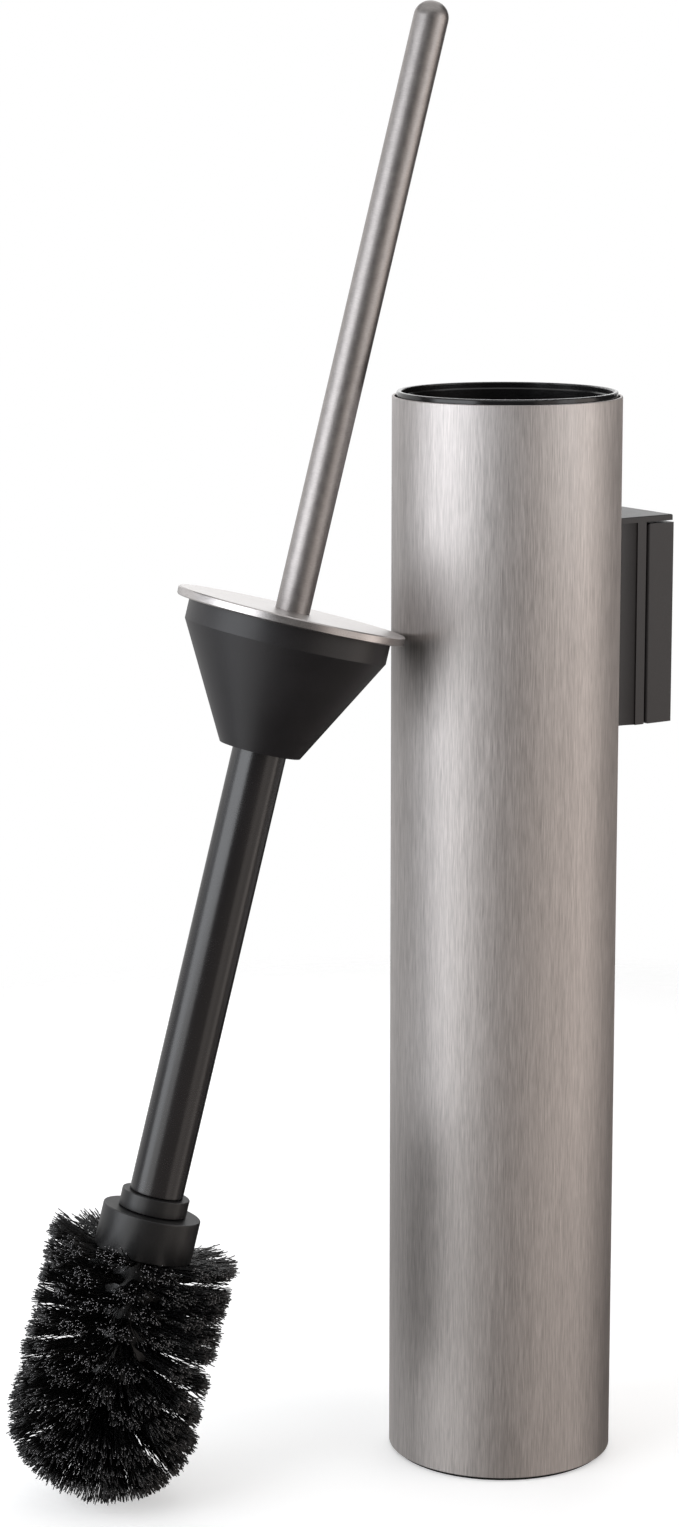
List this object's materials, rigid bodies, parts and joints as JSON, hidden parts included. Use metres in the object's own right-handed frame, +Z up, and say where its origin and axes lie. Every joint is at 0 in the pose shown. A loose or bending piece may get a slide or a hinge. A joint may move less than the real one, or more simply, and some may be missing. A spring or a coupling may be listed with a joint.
{
  "type": "toilet brush holder",
  "caption": "Slim round floor or wall toilet brush holder with lift-out liner, and a lidded brush with screw-on head leaning against it.",
  "frame": {"origin": "centre of the holder's underside, on the floor", "axes": "+Z up along the tube, +Y towards the wall that the bracket fixes to, +X along the wall"},
  "size_m": [0.1062, 0.2399, 0.5149],
  "materials": {
    "brushed_steel": "brushed along the tube",
    "handle_steel": "satin, fine turned grain",
    "lid_steel": "brushed in one direction",
    "zinc_steel": "zinc plated fixings",
    "bracket_black": "fine matt powder coat",
    "liner_black": "semi-gloss moulded",
    "cone_black": "satin moulded",
    "stem_black": "satin black lacquer",
    "head_black": "satin moulded",
    "bristle_black": "crimped nylon filaments",
    "pad_black": "closed-cell foam rubber",
    "brass": "turned"
  },
  "bodies": {
    "holder": {"outer_tube": "brushed_steel", "base_cup": "brushed_steel", "base_pad": "pad_black", "bracket_housing": "bracket_black", "bracket_studs": "zinc_steel", "bracket_washers": "zinc_steel", "bracket_nuts": "zinc_steel"},
    "liner": {"liner": "liner_black"},
    "wall_plate": {"wall_plate": "bracket_black"},
    "brush": {"handle_tube": "handle_steel", "handle_insert": "brass", "lid": "lid_steel", "splash_cone": "cone_black", "tie_stud": "zinc_steel", "stem": "stem_black", "stem_top_plug": "brass", "stem_bottom_plug": "brass", "stem_ferrule": "head_black", "head_stud": "zinc_steel"},
    "brush_head": {"head_core": "head_black", "bristles": "bristle_black"}
  },
  "joints": [
    {"name": "brush_lift", "type": "slide", "parent": "holder", "child": "brush", "axis": [0, 0, 1], "range_m": [0, 0.4]},
    {"name": "head_unscrew", "type": "hinge", "parent": "brush", "child": "brush_head", "pos_m": [-0.02857, -0.12885, 0.10303], "axis": [0.0531, 0.2395, 0.9694], "continuous": true},
    {"name": "liner_lift", "type": "slide", "parent": "holder", "child": "liner", "axis": [0, 0, 1], "range_m": [0, 0.06]},
    {"name": "wall_plate_slide", "type": "slide", "parent": "holder", "child": "wall_plate", "axis": [0, 0, -1], "range_m": [0, 0.075]}
  ]
}
